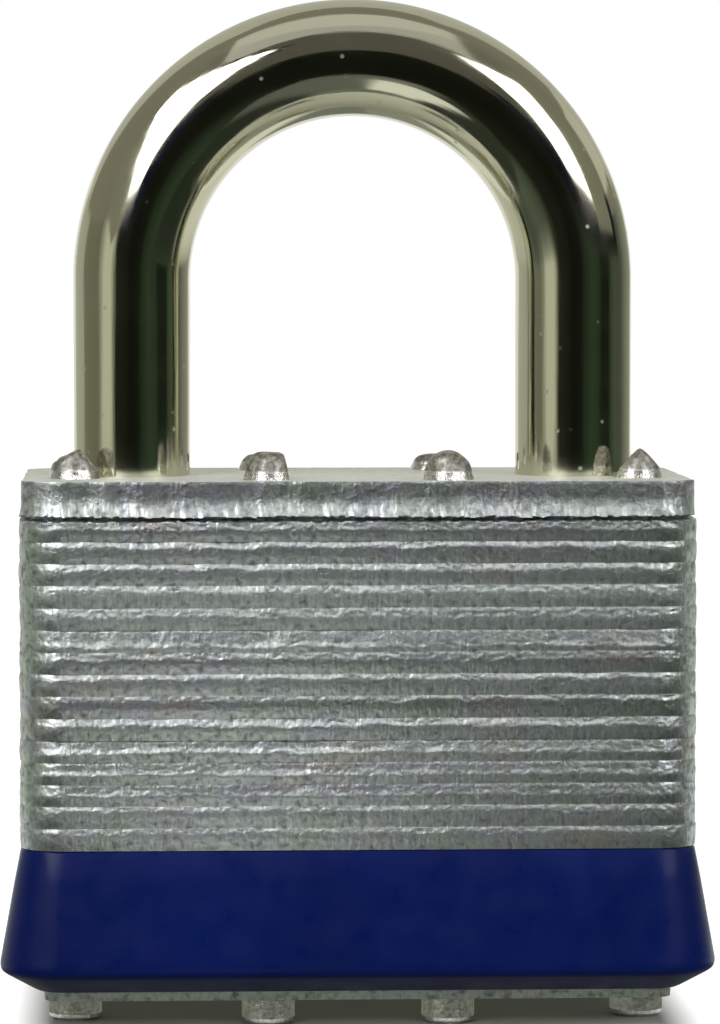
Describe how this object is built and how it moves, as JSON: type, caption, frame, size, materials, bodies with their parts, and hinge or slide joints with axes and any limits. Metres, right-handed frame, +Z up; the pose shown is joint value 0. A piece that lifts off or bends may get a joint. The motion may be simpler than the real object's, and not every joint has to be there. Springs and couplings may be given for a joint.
{
  "type": "padlock",
  "caption": "Padlock with a riveted stack of steel plates, a round plated steel shackle, a key cylinder in the underside and a flared plastic bumper round the foot.",
  "frame": {"origin": "on the floor under the middle of the body, at the foot of the rivet tails", "axes": "+X across the front to the toe leg, +Y from the front to the back, +Z up through the shackle"},
  "size_m": [0.054, 0.0284, 0.0776],
  "materials": {
    "plated_steel_plate": "sheared edges, zinc plated, satin",
    "rivet_steel": "peened heads, bright",
    "plated_shackle": "polished plate over hardened steel",
    "bumper_plastic": "moulded, semi-gloss deep blue",
    "brass": "machined",
    "hardened_steel": "hardened, oiled",
    "spring_steel": "drawn wire"
  },
  "bodies": {
    "lock_body": {"bottom_plate": "plated_steel_plate", "neck_plate_1": "plated_steel_plate", "neck_plate_2": "plated_steel_plate", "neck_plate_3": "plated_steel_plate", "neck_plate_4": "plated_steel_plate", "neck_plate_5": "plated_steel_plate", "neck_plate_6": "plated_steel_plate", "body_plate_01": "plated_steel_plate", "body_plate_02": "plated_steel_plate", "body_plate_03": "plated_steel_plate", "body_plate_04": "plated_steel_plate", "body_plate_05": "plated_steel_plate", "body_plate_06": "plated_steel_plate", "body_plate_07": "plated_steel_plate", "body_plate_08": "plated_steel_plate", "body_plate_09": "plated_steel_plate", "body_plate_10": "plated_steel_plate", "body_plate_11": "plated_steel_plate", "body_plate_12": "plated_steel_plate", "body_plate_13": "plated_steel_plate", "body_plate_14": "plated_steel_plate", "body_plate_15": "plated_steel_plate", "top_plate": "plated_steel_plate", "rivets": "rivet_steel", "bumper": "bumper_plastic", "cylinder_housing": "brass", "pin_cover": "brass", "driver_pin_1": "brass", "driver_pin_2": "brass", "driver_pin_3": "brass", "driver_pin_4": "brass", "shackle_spring": "spring_steel", "left_latch_spring": "spring_steel", "right_latch_spring": "spring_steel", "driver_spring_1": "spring_steel", "driver_spring_2": "spring_steel", "driver_spring_3": "spring_steel", "driver_spring_4": "spring_steel"},
    "shackle": {"shackle": "plated_shackle"},
    "plug": {"plug": "brass", "cam": "hardened_steel", "key_pin_1": "brass", "key_pin_2": "brass", "key_pin_3": "brass", "key_pin_4": "brass"},
    "left_latch": {"left_latch": "hardened_steel"},
    "right_latch": {"right_latch": "hardened_steel"}
  },
  "joints": [
    {"name": "shackle_lift", "type": "slide", "parent": "lock_body", "child": "shackle", "axis": [0, 0, 1], "range_m": [0, 0.013], "deforming": ["shackle_spring"]},
    {"name": "plug_turn", "type": "hinge", "parent": "lock_body", "child": "plug", "pos_m": [0, 0, 0.0135], "axis": [0, 0, 1], "range_deg": [-90, 0]},
    {"name": "left_latch_slide", "type": "slide", "parent": "lock_body", "child": "left_latch", "axis": [-1, 0, 0], "range_m": [0, 0.0022], "deforming": ["left_latch_spring"]},
    {"name": "right_latch_slide", "type": "slide", "parent": "lock_body", "child": "right_latch", "axis": [1, 0, 0], "range_m": [0, 0.0022], "deforming": ["right_latch_spring"]}
  ],
  "couplings": [
    {"joint": "plug_turn", "follows": "left_latch_slide", "rad_per_m": -713.9},
    {"joint": "right_latch_slide", "follows": "left_latch_slide", "ratio": 1}
  ]
}
